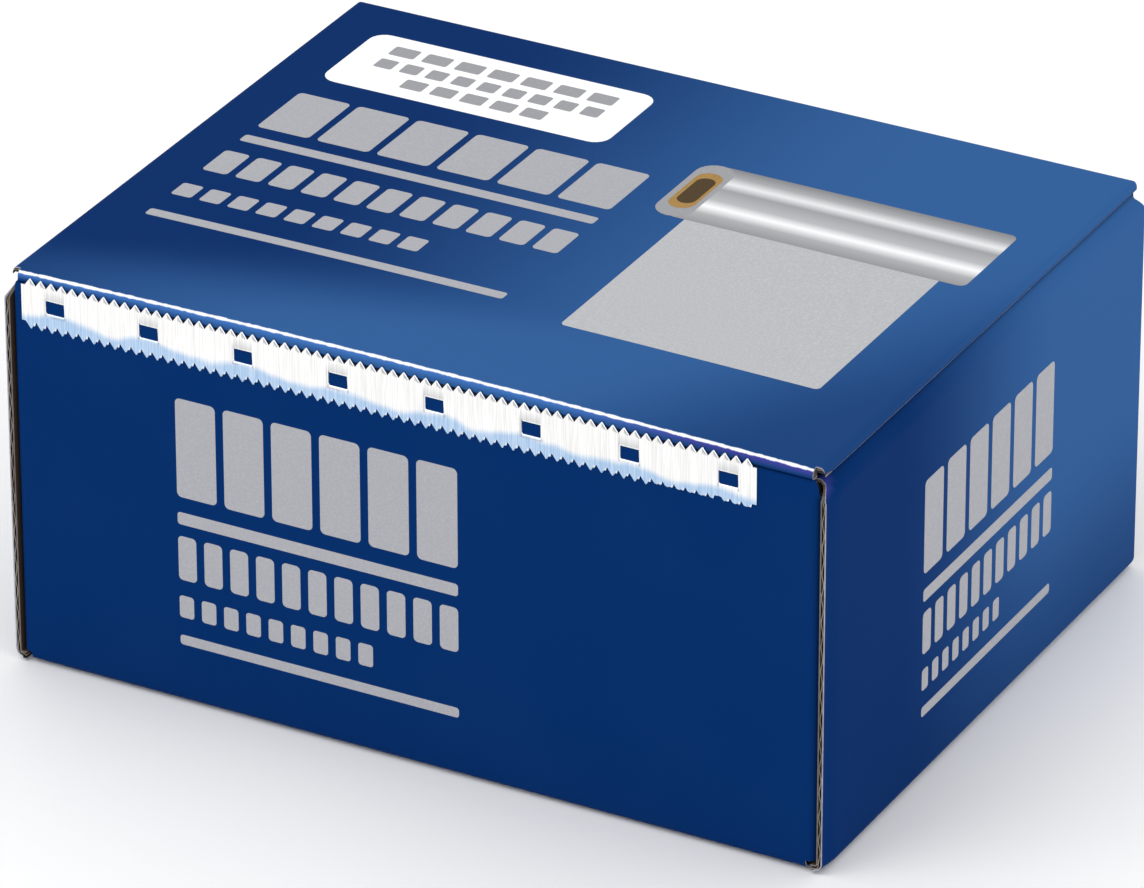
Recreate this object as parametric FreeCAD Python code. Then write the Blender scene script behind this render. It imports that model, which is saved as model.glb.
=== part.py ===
import FreeCAD, Part
import math
import os

# Corrugated mailer carton that stores and dispenses two small rolls of foil.
# One die-cut sheet is folded into a tray with a hinged tuck-in lid, and a toothed
# metal strip is clinched to the tray's front wall. Millimetres, +Z up, closed.
# The origin is the centre of the carton's underside, the front faces -Y.

# Foil rolls
foil_width = 120.0
foil_length = 50000.0
foil_thickness = 0.02
wind_slack = 1.05           # air between the turns swells the winding by this much
core_inner = 28.0
core_wall = 1.55
core_proud = 0.75           # the core stands out of the foil by this much at each end
core_chamfer = 0.3
wind_gap = 0.05             # between the core and the innermost turn
turn_grooves = 3            # grooves between the turns on each end
turn_groove_width = 0.5
turn_groove_depth = 0.35

# Room around the rolls inside the carton
end_play = 1.4              # between a core's end and the side wall
roll_clearance = 0.3        # behind the rear roll, and between the two rolls
front_play = 3.2            # before the front roll
floor_clearance = 0.05
headroom = 13.25            # from the rolls to the underside of the lid

# Carton
board = 1.35                # corrugated board, both liners and the fluting
ply_gap = 0.15              # air between boards that lie against each other
crease_inner = 0.25         # inner radius of a pressed crease
lid_gap = 0.1               # air between the lid and what it rests on

# Rolled-over side walls
lean_radius = 4.0           # outer face, where the wall starts to lean inwards
lean_angle = 50.0           # degrees turned before the tight part of the roll
roll_setback = 1.95         # the roll starts this far behind the carton's front face
roll_relief = 0.5           # height above the lean's start where the end is cut back
roll_relief_rise = 2.1      # height over which that slanting cut runs

# Ears and locking tabs that hold the tray together
ear_length = 30.0
ear_relief = 1.4            # how far the front wall's top corners are cut away
lock_tab_width = 16.0
lock_tab_offset = 22.0      # centre of each tab from the middle of the side wall
lock_tab_end = 0.2          # end of the tab above the floor
slot_clearance = 0.2

# Fluting seen on raw edges
liner = 0.22
flute_pitch = 3.9
flute_web = 0.43            # fluting paper, measured along the edge
flute_pocket = 3.0          # how deep the hollow flutes are cut into an edge

# Lid
lid_inset = 1.2             # from the outer face of the side wall to the lid's edge
lid_edge_radius = 0.7
notch = 2.1                 # raw corner beside the front fold
notch_setback = 1.2
nose_setback = 0.15         # front fold behind the carton's front face
nose_radius = 1.05
nose_drop = 1.7             # height of the doubled front fold
nose_lip_radius = 0.35
tuck_gap = 0.45             # between the front wall and the tucked flap
fold_lap = 0.1              # the front fold reaches into the flap by this much
tuck_length = 20.0
tuck_side_gap = 0.5
tuck_corner_radius = 7.0

# Toothed strip
strip_left = 3.4            # from the left outer face to the strip's end
strip_right = 11.1          # from the strip's other end to the right outer face
strip_height = 8.0          # tooth tip to tooth tip
strip_thickness = 0.22
strip_below_top = 0.6       # upper tips below the top of the lid
strip_seat = 0.03
tooth_pitch = 1.75
tooth_depth = 1.1
tooth_tip = 0.12            # width of the flat left on a tooth's tip
worn_teeth = 9              # blunted lower teeth at the right-hand end
worn_share = 0.6            # height that is left of a blunted tooth
clinch_count = 8
clinch_left = 5.6           # first opening's centre from the strip's left end
clinch_right = 4.4          # last opening's centre from the strip's right end
clinch_width = 3.0
clinch_height = 2.2
clinch_slot_clearance = 0.1

# Worked out from the sizes above
core_outer = core_inner + 2 * core_wall
core_length = foil_width + 2 * core_proud
winding_section = foil_length * foil_thickness * wind_slack
foil_diameter = math.sqrt(core_outer ** 2 + 4 * winding_section / math.pi)
double_wall = 3 * board + 2 * ply_gap
carton_width = core_length + 2 * (end_play + double_wall)
carton_depth = 2 * (foil_diameter + roll_clearance + board) + front_play
carton_height = 2 * board + floor_clearance + foil_diameter + headroom
half_width = carton_width / 2
half_depth = carton_depth / 2
fold_radius = board + crease_inner
lid_under = carton_height - board
roll_top = lid_under - lid_gap
lean = math.radians(lean_angle)
roll_radius = (double_wall - lean_radius * (1 - math.cos(lean))) / (1 + math.cos(lean))
lean_start = roll_top - lean_radius * math.sin(lean) - roll_radius * (1 - math.sin(lean))
inner_half_width = half_width - double_wall
wall_foot = board + ply_gap
panel_half = half_width - board - ply_gap
ear_fold = board + ply_gap
ear_top = lean_start - ply_gap
front_wall_top = carton_height - nose_drop - lid_gap
back_wall_top = lid_under - lid_gap
lid_half = half_width - lid_inset
tuck_lean = tuck_length ** 2 / (2 * (carton_depth - board))  # lets the flap swing past the wall
nose_half = lid_half - notch
strip_back = -half_depth - strip_seat
strip_start = -half_width + strip_left
strip_length = carton_width - strip_left - strip_right
clinch_pitch = (strip_length - clinch_left - clinch_right) / (clinch_count - 1)
strip_top = carton_height - strip_below_top
clinch_middle = strip_top - strip_height / 2
roll_radius_foil = foil_diameter / 2
roll_height = board + floor_clearance + roll_radius_foil
rear_roll_y = half_depth - board - roll_clearance - roll_radius_foil
front_roll_y = rear_roll_y - foil_diameter - roll_clearance
over = 1.0                  # how far a cutting tool stands out of what it cuts


def front_view(y):
    return lambda point: FreeCAD.Vector(point[0], y, point[1])


def side_view(x):
    return lambda point: FreeCAD.Vector(x, point[0], point[1])


def plan_view(z):
    return lambda point: FreeCAD.Vector(point[0], point[1], z)


def on_circle(centre, radius, angle):
    return (centre[0] + radius * math.cos(angle), centre[1] + radius * math.sin(angle))


def arc(centre, radius, first, last):
    """A step for outline(): a point on the way and the end of an arc."""
    middle = on_circle(centre, radius, (first + last) / 2)
    return (middle, on_circle(centre, radius, last))


def outline(view, start, steps):
    """Closed face from straight steps (one point) and arc steps (two points)."""
    edges = []
    here = start
    for step in steps + [start]:
        if isinstance(step[0], tuple):
            middle, end = step
            edges.append(Part.Arc(view(here), view(middle), view(end)).toShape())
        else:
            end = step
            edges.append(Part.LineSegment(view(here), view(end)).toShape())
        here = end
    return Part.Face(Part.Wire(edges))


def block(x0, x1, y0, y1, z0, z1):
    corner = FreeCAD.Vector(x0, y0, z0)
    return Part.makeBox(x1 - x0, y1 - y0, z1 - z0, corner)


def mirror_x(shape):
    return shape.mirror(FreeCAD.Vector(0, 0, 0), FreeCAD.Vector(1, 0, 0))


def mirror_y(shape):
    return shape.mirror(FreeCAD.Vector(0, 0, 0), FreeCAD.Vector(0, 1, 0))


def save(shape, name):
    solid = shape.removeSplitter()
    print(name, "solids", len(solid.Solids), "valid", solid.isValid(), "volume", round(solid.Volume, 1))
    solid.exportStep(os.path.join("parts", name + ".step"))


def flute_pockets(first, last, place):
    """Hollow flutes of a raw edge that runs from first to last.

    place(along, across) gives the plane's point; across runs from liner to liner.
    """
    low = liner
    high = board - liner
    faces = []
    along = first
    while along + 1.5 * flute_pitch <= last:
        wide = (along + flute_web, along + flute_pitch - flute_web)
        peak = along + flute_pitch / 2
        faces.append([place(wide[0], low), place(peak, high - flute_web / 2), place(wide[1], low)])
        turned = (peak + flute_web, peak + flute_pitch - flute_web)
        peak = along + flute_pitch
        faces.append([place(turned[0], high), place(peak, low + flute_web / 2), place(turned[1], high)])
        along += flute_pitch
    return [Part.Face(Part.makePolygon(points + [points[0]])) for points in faces]


# Right side wall: bottom fold, outer wall, roll and inner wall as one folded board
def side_wall():
    foot_centre = (half_width - fold_radius, fold_radius)
    lean_centre = (half_width - lean_radius, lean_start)
    lean_end = on_circle(lean_centre, lean_radius, lean)
    roll_centre = on_circle(lean_end, roll_radius, lean + math.pi)
    inner_face = roll_centre[0] - roll_radius
    steps = [
        arc(foot_centre, fold_radius, -math.pi / 2, 0),
        (half_width, lean_start),
        arc(lean_centre, lean_radius, 0, lean),
        arc(roll_centre, roll_radius, lean, math.pi),
        (inner_face, wall_foot),
        (inner_face + board, wall_foot),
        (inner_face + board, roll_centre[1]),
        arc(roll_centre, roll_radius - board, math.pi, lean),
        arc(lean_centre, lean_radius - board, lean, 0),
        (half_width - board, fold_radius),
        arc(foot_centre, crease_inner, 0, -math.pi / 2),
    ]
    profile = outline(front_view(-half_depth), (foot_centre[0], 0.0), steps)
    wall = profile.extrude(FreeCAD.Vector(0, carton_depth, 0))
    return wall.cut(side_wall_end()).cut(mirror_y(side_wall_end()))


def side_wall_end():
    """What is cut from the front end of the right side wall, back of the outer board."""
    front = -half_depth
    behind = front + roll_setback
    inner = block(inner_half_width - over, half_width - board - ply_gap / 2,
                  front - over, behind, board + ply_gap / 2, carton_height + over)
    slant_foot = lean_start + roll_relief
    slant = outline(
        side_view(inner_half_width - over), (front - over, slant_foot),
        [(front, slant_foot), (behind, slant_foot + roll_relief_rise),
         (behind, carton_height + over), (front - over, carton_height + over)])
    return inner.fuse(slant.extrude(FreeCAD.Vector(double_wall + 2 * over, 0, 0)))


def lock_tabs():
    """Tabs under the right inner wall, that lock into slots in the bottom."""
    tabs = []
    for side in (-1, 1):
        middle = side * lock_tab_offset
        tabs.append(block(inner_half_width, inner_half_width + board,
                          middle - lock_tab_width / 2, middle + lock_tab_width / 2,
                          lock_tab_end, wall_foot + ply_gap))
    return tabs


def lock_slots():
    slots = []
    for side in (-1, 1):
        middle = side * lock_tab_offset
        reach = lock_tab_width / 2 + slot_clearance
        slots.append(block(inner_half_width - slot_clearance, inner_half_width + board + slot_clearance,
                           middle - reach, middle + reach, -over, board + over))
    return slots


# Front or back wall with its bottom fold and its two ears, drawn at the front
def end_wall(wall_top):
    front = -half_depth
    flat_half = panel_half - ear_fold
    panel = block(-flat_half, flat_half, front, front + board, fold_radius, wall_top)
    fold_centre = (front + fold_radius, fold_radius)
    fold = outline(
        side_view(-flat_half), (front + fold_radius, 0.0),
        [arc(fold_centre, fold_radius, -math.pi / 2, -math.pi),
         (front + board, fold_radius),
         arc(fold_centre, crease_inner, -math.pi, -math.pi / 2)])
    fold = fold.extrude(FreeCAD.Vector(2 * flat_half, 0, 0))
    corner_centre = (flat_half, front + ear_fold)
    corner = outline(
        plan_view(fold_radius), (flat_half, front),
        [arc(corner_centre, ear_fold, -math.pi / 2, 0),
         (panel_half - board, front + ear_fold),
         arc(corner_centre, ply_gap, 0, -math.pi / 2)])
    corner = corner.extrude(FreeCAD.Vector(0, 0, wall_top - fold_radius))
    relief = outline(
        front_view(front - over), (panel_half + over, ear_top),
        [(panel_half, ear_top - ply_gap), (panel_half - ear_relief, wall_top + ply_gap),
         (panel_half + over, wall_top + over)])
    corner = corner.cut(relief.extrude(FreeCAD.Vector(0, 2 * over + ear_fold, 0)))
    ear = block(panel_half - board, panel_half, front + ear_fold, front + ear_length,
                wall_foot, ear_top)
    ear = ear.cut(relief.extrude(FreeCAD.Vector(0, ear_length + over, 0)))
    half = corner.fuse(ear)
    panel = panel.cut(relief.extrude(FreeCAD.Vector(0, 2 * over + ear_fold, 0)))
    panel = panel.cut(mirror_x(relief.extrude(FreeCAD.Vector(0, 2 * over + ear_fold, 0))))
    return panel.fuse([fold, half, mirror_x(half)])


def clinch_centres():
    return [strip_start + clinch_left + count * clinch_pitch for count in range(clinch_count)]


def clinch_slots():
    """Slots in the front wall that the strip's bent tabs pass through."""
    low = clinch_middle - clinch_height / 2
    reach = clinch_width / 2 + clinch_slot_clearance
    return [block(x - reach, x + reach, -half_depth - over, -half_depth + board + over,
                  low - strip_thickness - clinch_slot_clearance, low + clinch_slot_clearance)
            for x in clinch_centres()]


def raw_edge_flutes():
    """Hollow flutes on the front end of the right outer wall."""
    faces = flute_pockets(
        fold_radius + flute_web, lean_start,
        lambda along, across: FreeCAD.Vector(half_width - across, -half_depth, along))
    return [face.extrude(FreeCAD.Vector(0, flute_pocket, 0)) for face in faces]


def carton_tray():
    bottom = block(-half_width + fold_radius, half_width - fold_radius,
                   -half_depth + fold_radius, half_depth - fold_radius, 0, board)
    right_wall = side_wall().fuse(lock_tabs())
    slots = lock_slots()
    bottom = bottom.cut(slots + [mirror_x(slot) for slot in slots])
    front_wall = end_wall(front_wall_top).cut(clinch_slots())
    back_wall = mirror_y(end_wall(back_wall_top))
    tray = bottom.fuse([right_wall, mirror_x(right_wall), front_wall, back_wall])
    flutes = raw_edge_flutes()
    flutes = flutes + [mirror_x(flute) for flute in flutes]
    flutes = flutes + [mirror_y(flute) for flute in flutes]
    return tray.cut(flutes)


def lid_panel():
    """Flat top of the lid: its side view and its front view, both extruded, in common."""
    front = -half_depth + notch_setback
    back_centre = (half_depth - board, lid_under)
    side = outline(
        side_view(-lid_half - over), (front, lid_under),
        [(half_depth, lid_under), arc(back_centre, board, 0, math.pi / 2), (front, carton_height)])
    side = side.extrude(FreeCAD.Vector(2 * (lid_half + over), 0, 0))
    top = carton_height
    right_centre = (lid_half - lid_edge_radius, top - lid_edge_radius)
    left_centre = (-right_centre[0], right_centre[1])
    across = outline(
        front_view(-half_depth - over), (-lid_half, lid_under),
        [(lid_half, lid_under), (lid_half, right_centre[1]),
         arc(right_centre, lid_edge_radius, 0, math.pi / 2),
         (left_centre[0], top),
         arc(left_centre, lid_edge_radius, math.pi / 2, math.pi)])
    across = across.extrude(FreeCAD.Vector(0, carton_depth + 2 * over, 0))
    return side.common(across)


def lid_nose():
    """Front fold, doubled over so that the flap can step back behind the front wall."""
    front = -half_depth + nose_setback
    flap_front = -half_depth + board + tuck_gap
    low = carton_height - nose_drop
    upper = (front + nose_radius, carton_height - nose_radius)
    lower = (front + nose_lip_radius, low + nose_lip_radius)
    behind = flap_front + fold_lap
    profile = outline(
        side_view(-nose_half), (behind, carton_height),
        [(upper[0], carton_height), arc(upper, nose_radius, math.pi / 2, math.pi),
         (front, lower[1]), arc(lower, nose_lip_radius, math.pi, 3 * math.pi / 2),
         (behind, low)])
    return profile.extrude(FreeCAD.Vector(2 * nose_half, 0, 0))


def tuck_flap():
    """Flap behind the front wall: a leaning board with two rounded lower corners."""
    flap_front = -half_depth + board + tuck_gap
    top = carton_height - nose_drop / 2
    bottom = lid_under - tuck_length
    half = inner_half_width - tuck_side_gap
    profile = outline(
        side_view(-half), (flap_front, top),
        [(flap_front + board, top), (flap_front + board + tuck_lean, bottom),
         (flap_front + tuck_lean, bottom)])
    flap = profile.extrude(FreeCAD.Vector(2 * half, 0, 0))
    reach = tuck_corner_radius
    right = (half - reach, bottom + reach)
    left = (-right[0], right[1])
    shape = outline(
        front_view(flap_front - over), (-half, carton_height),
        [(-half, left[1]), arc(left, reach, math.pi, 3 * math.pi / 2),
         (right[0], bottom), arc(right, reach, -math.pi / 2, 0), (half, carton_height)])
    return flap.common(shape.extrude(FreeCAD.Vector(0, 2 * over + board + tuck_lean, 0)))


def lid_corner_flute():
    """The one hollow flute that shows on the lid's raw right front corner."""
    front = -half_depth + notch_setback
    middle = lid_half - notch / 2
    points = [FreeCAD.Vector(middle - notch / 3, front, lid_under + liner),
              FreeCAD.Vector(middle + notch / 3, front, lid_under + liner),
              FreeCAD.Vector(middle, front, carton_height - liner - flute_web / 2)]
    face = Part.Face(Part.makePolygon(points + [points[0]]))
    return face.extrude(FreeCAD.Vector(0, flute_pocket, 0))


def carton_lid():
    lid = lid_panel().fuse([lid_nose(), tuck_flap()])
    flute = lid_corner_flute()
    return lid.cut([flute, mirror_x(flute)])


def tooth_row(edge, depths, start, upwards):
    """Points of one row of teeth, from left to right; edge is the line of the tips."""
    turn = -1 if upwards else 1
    points = []
    for count, depth in enumerate(depths):
        left = start + count * tooth_pitch
        root = edge + turn * tooth_depth
        tip = root - turn * depth
        points.append((left, root))
        points.append((left + (tooth_pitch - tooth_tip) / 2, tip))
        points.append((left + (tooth_pitch + tooth_tip) / 2, tip))
    points.append((start + len(depths) * tooth_pitch, edge + turn * tooth_depth))
    return points


def cutter_strip():
    """Flat strip, toothed on both long edges, with a bent tab under each opening."""
    teeth = int((strip_length - tooth_pitch / 2) / tooth_pitch)
    margin = (strip_length - teeth * tooth_pitch) / 2
    sharp = [tooth_depth] * teeth
    blunt = [tooth_depth * worn_share] * min(worn_teeth, teeth)
    lower = sharp[:teeth - len(blunt)] + blunt
    bottom = strip_top - strip_height
    upper_points = tooth_row(strip_top, sharp, strip_start + margin, True)
    lower_points = tooth_row(bottom, lower, strip_start + margin, False)
    strip_end = strip_start + strip_length
    left = [(strip_start, bottom + tooth_depth), (strip_start, strip_top - tooth_depth)]
    right = [(strip_end, strip_top - tooth_depth), (strip_end, bottom + tooth_depth)]
    points = left + upper_points + right + list(reversed(lower_points))
    blank = outline(front_view(strip_back), points[0], points[1:])
    strip = blank.extrude(FreeCAD.Vector(0, -strip_thickness, 0))
    low = clinch_middle - clinch_height / 2
    openings = []
    tabs = []
    for x in clinch_centres():
        openings.append(block(x - clinch_width / 2, x + clinch_width / 2,
                              strip_back - strip_thickness - over, strip_back + over,
                              low, low + clinch_height))
        tabs.append(bent_tab(x, low))
    return strip.cut(openings).fuse(tabs)


def bent_tab(x, low):
    """Tab bent through the wall and clinched down behind it, as one bent strap."""
    half = clinch_width / 2
    front = strip_back - strip_thickness
    behind = -half_depth + board + clinch_slot_clearance
    tail = clinch_height - (behind - front - strip_thickness)
    profile = outline(
        side_view(x - half), (front, low),
        [(behind + strip_thickness, low), (behind + strip_thickness, low - tail),
         (behind, low - tail), (behind, low - strip_thickness), (front, low - strip_thickness)])
    return profile.extrude(FreeCAD.Vector(clinch_width, 0, 0))


def ring(y, profile):
    """Solid turned about a roll's axis from (x, radius) points."""
    points = [FreeCAD.Vector(x, y, roll_height + radius) for x, radius in profile]
    face = Part.Face(Part.makePolygon(points + [points[0]]))
    return face.revolve(FreeCAD.Vector(0, y, roll_height), FreeCAD.Vector(1, 0, 0), 360)


def foil_roll(y):
    """Wound foil as one solid, its ends grooved where the turns lie unevenly."""
    inner = core_outer / 2 + wind_gap
    spacing = (roll_radius_foil - inner) / (turn_grooves + 1)
    end = foil_width / 2
    right = []
    for count in range(1, turn_grooves + 1):
        radius = inner + count * spacing
        right.append((end, radius - turn_groove_width / 2))
        right.append((end - turn_groove_depth, radius))
        right.append((end, radius + turn_groove_width / 2))
    left = [(-x, radius) for x, radius in reversed(right)]
    profile = [(end, inner)] + right + [(end, roll_radius_foil), (-end, roll_radius_foil)] + left
    return ring(y, profile + [(-end, inner)])


def roll_core(y):
    """Wound card tube with slightly broken ends."""
    end = core_length / 2
    outer = core_outer / 2
    inner = core_inner / 2
    profile = [(-end, inner), (end, inner), (end, outer - core_chamfer),
               (end - core_chamfer, outer), (-end + core_chamfer, outer), (-end, outer - core_chamfer)]
    return ring(y, profile)


os.makedirs("parts", exist_ok=True)
save(carton_tray(), "carton_tray")
save(carton_lid(), "carton_lid")
save(cutter_strip(), "cutter_strip")
for place, y in (("front", front_roll_y), ("rear", rear_roll_y)):
    save(foil_roll(y), place + "_foil_roll")
    save(roll_core(y), place + "_roll_core")
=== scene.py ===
# Foil dispenser carton: a folded corrugated mailer with a toothed steel strip,
# and two rolls of narrow foil inside. Shapes are worked out in millimetres.
import math

import bmesh
import bpy
import numpy as np
from mathutils import Matrix, Vector


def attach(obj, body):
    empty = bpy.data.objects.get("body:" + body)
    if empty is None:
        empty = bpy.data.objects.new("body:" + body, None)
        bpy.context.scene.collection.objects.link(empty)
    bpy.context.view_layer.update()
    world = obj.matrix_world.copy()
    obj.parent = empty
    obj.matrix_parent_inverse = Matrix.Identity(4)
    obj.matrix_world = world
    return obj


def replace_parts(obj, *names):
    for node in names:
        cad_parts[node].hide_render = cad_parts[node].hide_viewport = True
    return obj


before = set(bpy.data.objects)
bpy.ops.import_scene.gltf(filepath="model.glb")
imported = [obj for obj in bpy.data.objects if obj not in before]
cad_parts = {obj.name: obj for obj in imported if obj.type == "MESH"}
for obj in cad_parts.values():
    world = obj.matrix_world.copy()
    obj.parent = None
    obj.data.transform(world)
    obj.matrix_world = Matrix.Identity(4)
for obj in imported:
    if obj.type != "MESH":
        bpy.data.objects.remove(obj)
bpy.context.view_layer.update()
print("frame loaded:", ", ".join(sorted(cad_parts)))

# sizes that several pieces share, in mm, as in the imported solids
carton = {
    "halfWidth": 66.5,
    "halfDepth": 51.25,
    "height": 64.0,
    "board": 1.35,
    "liner": 0.22,          # one paper liner
    "web": 0.16,            # the waved paper between the liners
    "glue": 0.01,           # air between the wave's crests and the liners
    "flute": 3.9,           # crest to crest
    "fold": 1.6,            # outer radius of a creased fold
}


# sRGB hex to linear: the low part over 12.92, the rest by a power of 2.4
def linearColor(code):
    values = np.array([int(code[i:i + 2], 16) for i in (1, 3, 5)]) / 255
    curved = ((values + 0.055) / 1.055) ** 2.4
    return (*np.where(values <= 0.04045, values / 12.92, curved).tolist(), 1.0)


# a smooth rise from 0 at low to 1 at high: 3t squared minus 2t cubed
def smoothRise(value, low, high):
    t = np.clip((value - low) / (high - low), 0, 1)
    return t * t * (3 - 2 * t)


# a line that runs straight or turns, from (length, turn in degrees) moves: each turn is cut
# into steps of about 8 degrees, and the points are the running sum of the steps' chords
def foldedPath(start, heading, moves):
    lengths, turns = np.array(moves, float).T
    counts = np.maximum(1, np.ceil(np.abs(turns) / 8)).astype(int)
    step = np.repeat(lengths / counts, counts)
    bend = np.radians(np.repeat(turns / counts, counts))
    after = math.radians(heading) + np.cumsum(bend)
    chord = step * np.sinc(bend / 2 / np.pi)
    middle = after - bend / 2
    across = start[0] + np.cumsum(chord * np.cos(middle))
    up = start[1] + np.cumsum(chord * np.sin(middle))
    return {
        "distance": np.concatenate([[0], np.cumsum(step)]),
        "across": np.concatenate([[start[0]], across]),
        "up": np.concatenate([[start[1]], up]),
        "angle": np.concatenate([[math.radians(heading)], after]),
    }


# place and outward side of a line at a distance; outward is to the right of its heading
def alongPath(path, distance):
    across, up, angle = (np.interp(distance, path["distance"], path[key])
                         for key in ("across", "up", "angle"))
    return across, up, np.sin(angle), -np.cos(angle)


# a closed sheet between two grids of points: the kept cells of both grids, and a wall
# wherever a kept cell borders a left-out one or the end of the grid
def closedSheet(front, back, kept):
    rows, columns = front.shape[:2]
    near = np.arange(rows * columns).reshape(rows, columns)
    far = near + rows * columns
    ring = np.pad(kept, 1)
    faces = [
        np.stack([near[:-1, :-1], near[1:, :-1], near[1:, 1:], near[:-1, 1:]], -1)[kept],
        np.stack([far[:-1, :-1], far[:-1, 1:], far[1:, 1:], far[1:, :-1]], -1)[kept],
    ]
    before, after = ring[:-1, 1:-1], ring[1:, 1:-1]
    a, b, c, d = near[:, :-1], near[:, 1:], far[:, 1:], far[:, :-1]
    faces.append(np.stack([a, b, c, d], -1)[after & ~before])
    faces.append(np.stack([b, a, d, c], -1)[before & ~after])
    before, after = ring[1:-1, :-1], ring[1:-1, 1:]
    a, b, c, d = near[:-1], near[1:], far[1:], far[:-1]
    faces.append(np.stack([b, a, d, c], -1)[after & ~before])
    faces.append(np.stack([a, b, c, d], -1)[before & ~after])
    region = np.repeat([0, 1, 2, 2, 2, 2], [len(part) for part in faces])
    points = np.concatenate([front.reshape(-1, 3), back.reshape(-1, 3)])
    faces = np.concatenate(faces)
    along = front[1:, :-1] - front[:-1, :-1]
    across = front[:-1, 1:] - front[:-1, :-1]
    facing = np.sum(np.cross(along, across) * (front - back)[:-1, :-1])
    return points, (faces if facing > 0 else faces[:, ::-1]), region


# puts points (mm) and faces into a mesh piece that rides on a body
def addPiece(name, body, points, faces, picks, materials, values=None, sharp=32):
    mesh = bpy.data.meshes.new(name)
    mesh.from_pydata((points * 0.001).tolist(), [], faces.tolist())
    mesh.polygons.foreach_set("material_index", np.asarray(picks, np.int32))
    for key, numbers in (values or {}).items():
        layer = mesh.attributes.new(key, "FLOAT", "POINT")
        layer.data.foreach_set("value", np.asarray(numbers, np.float32).ravel())
    for material in materials:
        mesh.materials.append(material)
    edit = bmesh.new()
    edit.from_mesh(mesh)
    bmesh.ops.remove_doubles(edit, verts=edit.verts, dist=2e-6)
    bmesh.ops.dissolve_degenerate(edit, edges=edit.edges, dist=1e-7)
    edit.to_mesh(mesh)
    edit.free()
    mesh.shade_smooth()
    mesh.set_sharp_from_angle(angle=math.radians(sharp))
    piece = bpy.data.objects.new(name, mesh)
    bpy.context.scene.collection.objects.link(piece)
    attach(piece, body)
    return piece


# corrugated board: two closed liners and a closed sine-waved sheet between them. shape(u, v)
# gives outer points, outward sides, thickness, distance across the flutes, the scuff with its painted highlight,
# and the fold tint of painted light and shade
def addBoard(name, body, shape, keep, lines, waved, materials):
    points, faces, picks, start = [], [], [], 0
    values = {"flutePhase": [], "scuffAndHighlight": [], "foldShadingTint": []}
    for layer in range(3):
        grid = list(lines)
        if layer == 1:      # eight steps to a wave
            low, high = grid[waved][0], grid[waved][-1]
            grid[waved] = np.union1d(grid[waved], np.arange(low, high, carton["flute"] / 8))
        u, v = np.meshgrid(*grid, indexing="ij")
        outer, outward, thick, across, scuffAndHighlight, foldShadingTint = shape(u, v)
        liner = np.minimum(carton["liner"], thick * 0.3)
        room = (thick - 2 * liner - carton["web"]) / 2 - carton["glue"]
        middle = thick / 2 + np.maximum(room, 0) * np.sin(2 * np.pi * across / carton["flute"])
        half = np.minimum(carton["web"], thick * 0.2) / 2
        near, far = ((0 * thick, liner), (middle - half, middle + half), (thick - liner, thick))[layer]
        kept = keep((u[1:, 1:] + u[:-1, :-1]) / 2, (v[1:, 1:] + v[:-1, :-1]) / 2)
        sheet, quads, region = closedSheet(
            outer - near[..., None] * outward, outer - far[..., None] * outward, kept)
        points.append(sheet)
        faces.append(quads + start)
        picks.append(np.array([[0, 5, 1], [5, 5, 2], [5, 3, 4]])[layer][region])
        for key, numbers in (("flutePhase", across / carton["flute"]), ("scuffAndHighlight", scuffAndHighlight), ("foldShadingTint", foldShadingTint)):
            values[key].append(np.tile(numbers.ravel(), 2))
        start += len(sheet)
    values = {key: np.concatenate(parts) for key, parts in values.items()}
    return addPiece(name, body, np.concatenate(points), np.concatenate(faces),
                    np.concatenate(picks), materials, values)


# one node with its settings; an input takes a value or another node's output
def addNode(tree, kind, settings=None, inputs=None):
    node = tree.nodes.new("ShaderNode" + kind)
    for key, value in (settings or {}).items():
        setattr(node, key, value)
    for key, value in (inputs or {}).items():
        if isinstance(value, bpy.types.NodeSocket):
            tree.links.new(value, node.inputs[key])
        else:
            node.inputs[key].default_value = value
    return node.outputs


# a material with its shader's own values set
def newMaterial(name, settings):
    material = bpy.data.materials.new(name)
    material.use_nodes = True
    shader = material.node_tree.nodes["Principled BSDF"]
    for key, value in settings.items():
        shader.inputs[key].default_value = value
    return material, material.node_tree, shader


# settings that many nodes share. MapRange takes 0 the value, 1 and 2 the range it comes from,
# 3 and 4 the one it goes to; a colour Mix takes 0 the share, 6 and 7 the colours, and gives 2
smooth = {"interpolation_type": "SMOOTHSTEP"}
mixed = {"data_type": "RGBA"}
plus, times, timesPlus, sine, cosine, magnitude = ({"operation": name} for name in (
    "ADD", "MULTIPLY", "MULTIPLY_ADD", "SINE", "COSINE", "ABSOLUTE"))

ink = {
    "navy": "#052d65",
    # the pale blue of the light painted on the lid and the right side
    "paintedLightBlue": "#315d96",
    "litFoldBlue": "#3f70b8",       # painted light on the rounded folds, a lighter blue
    "foldShadingTint": "#403f98",        # the folds' painted light and shade, violet towards the right-hand end
    # white of ink worn off the front fold, and a painted highlight along it
    "scuffAndHighlight": "#f6f8fc",
    "cloud": "#4a76b4",         # faint unevenness of the ink
    "roughness": 0.5,
    "gloss": 0.008,
}


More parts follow.
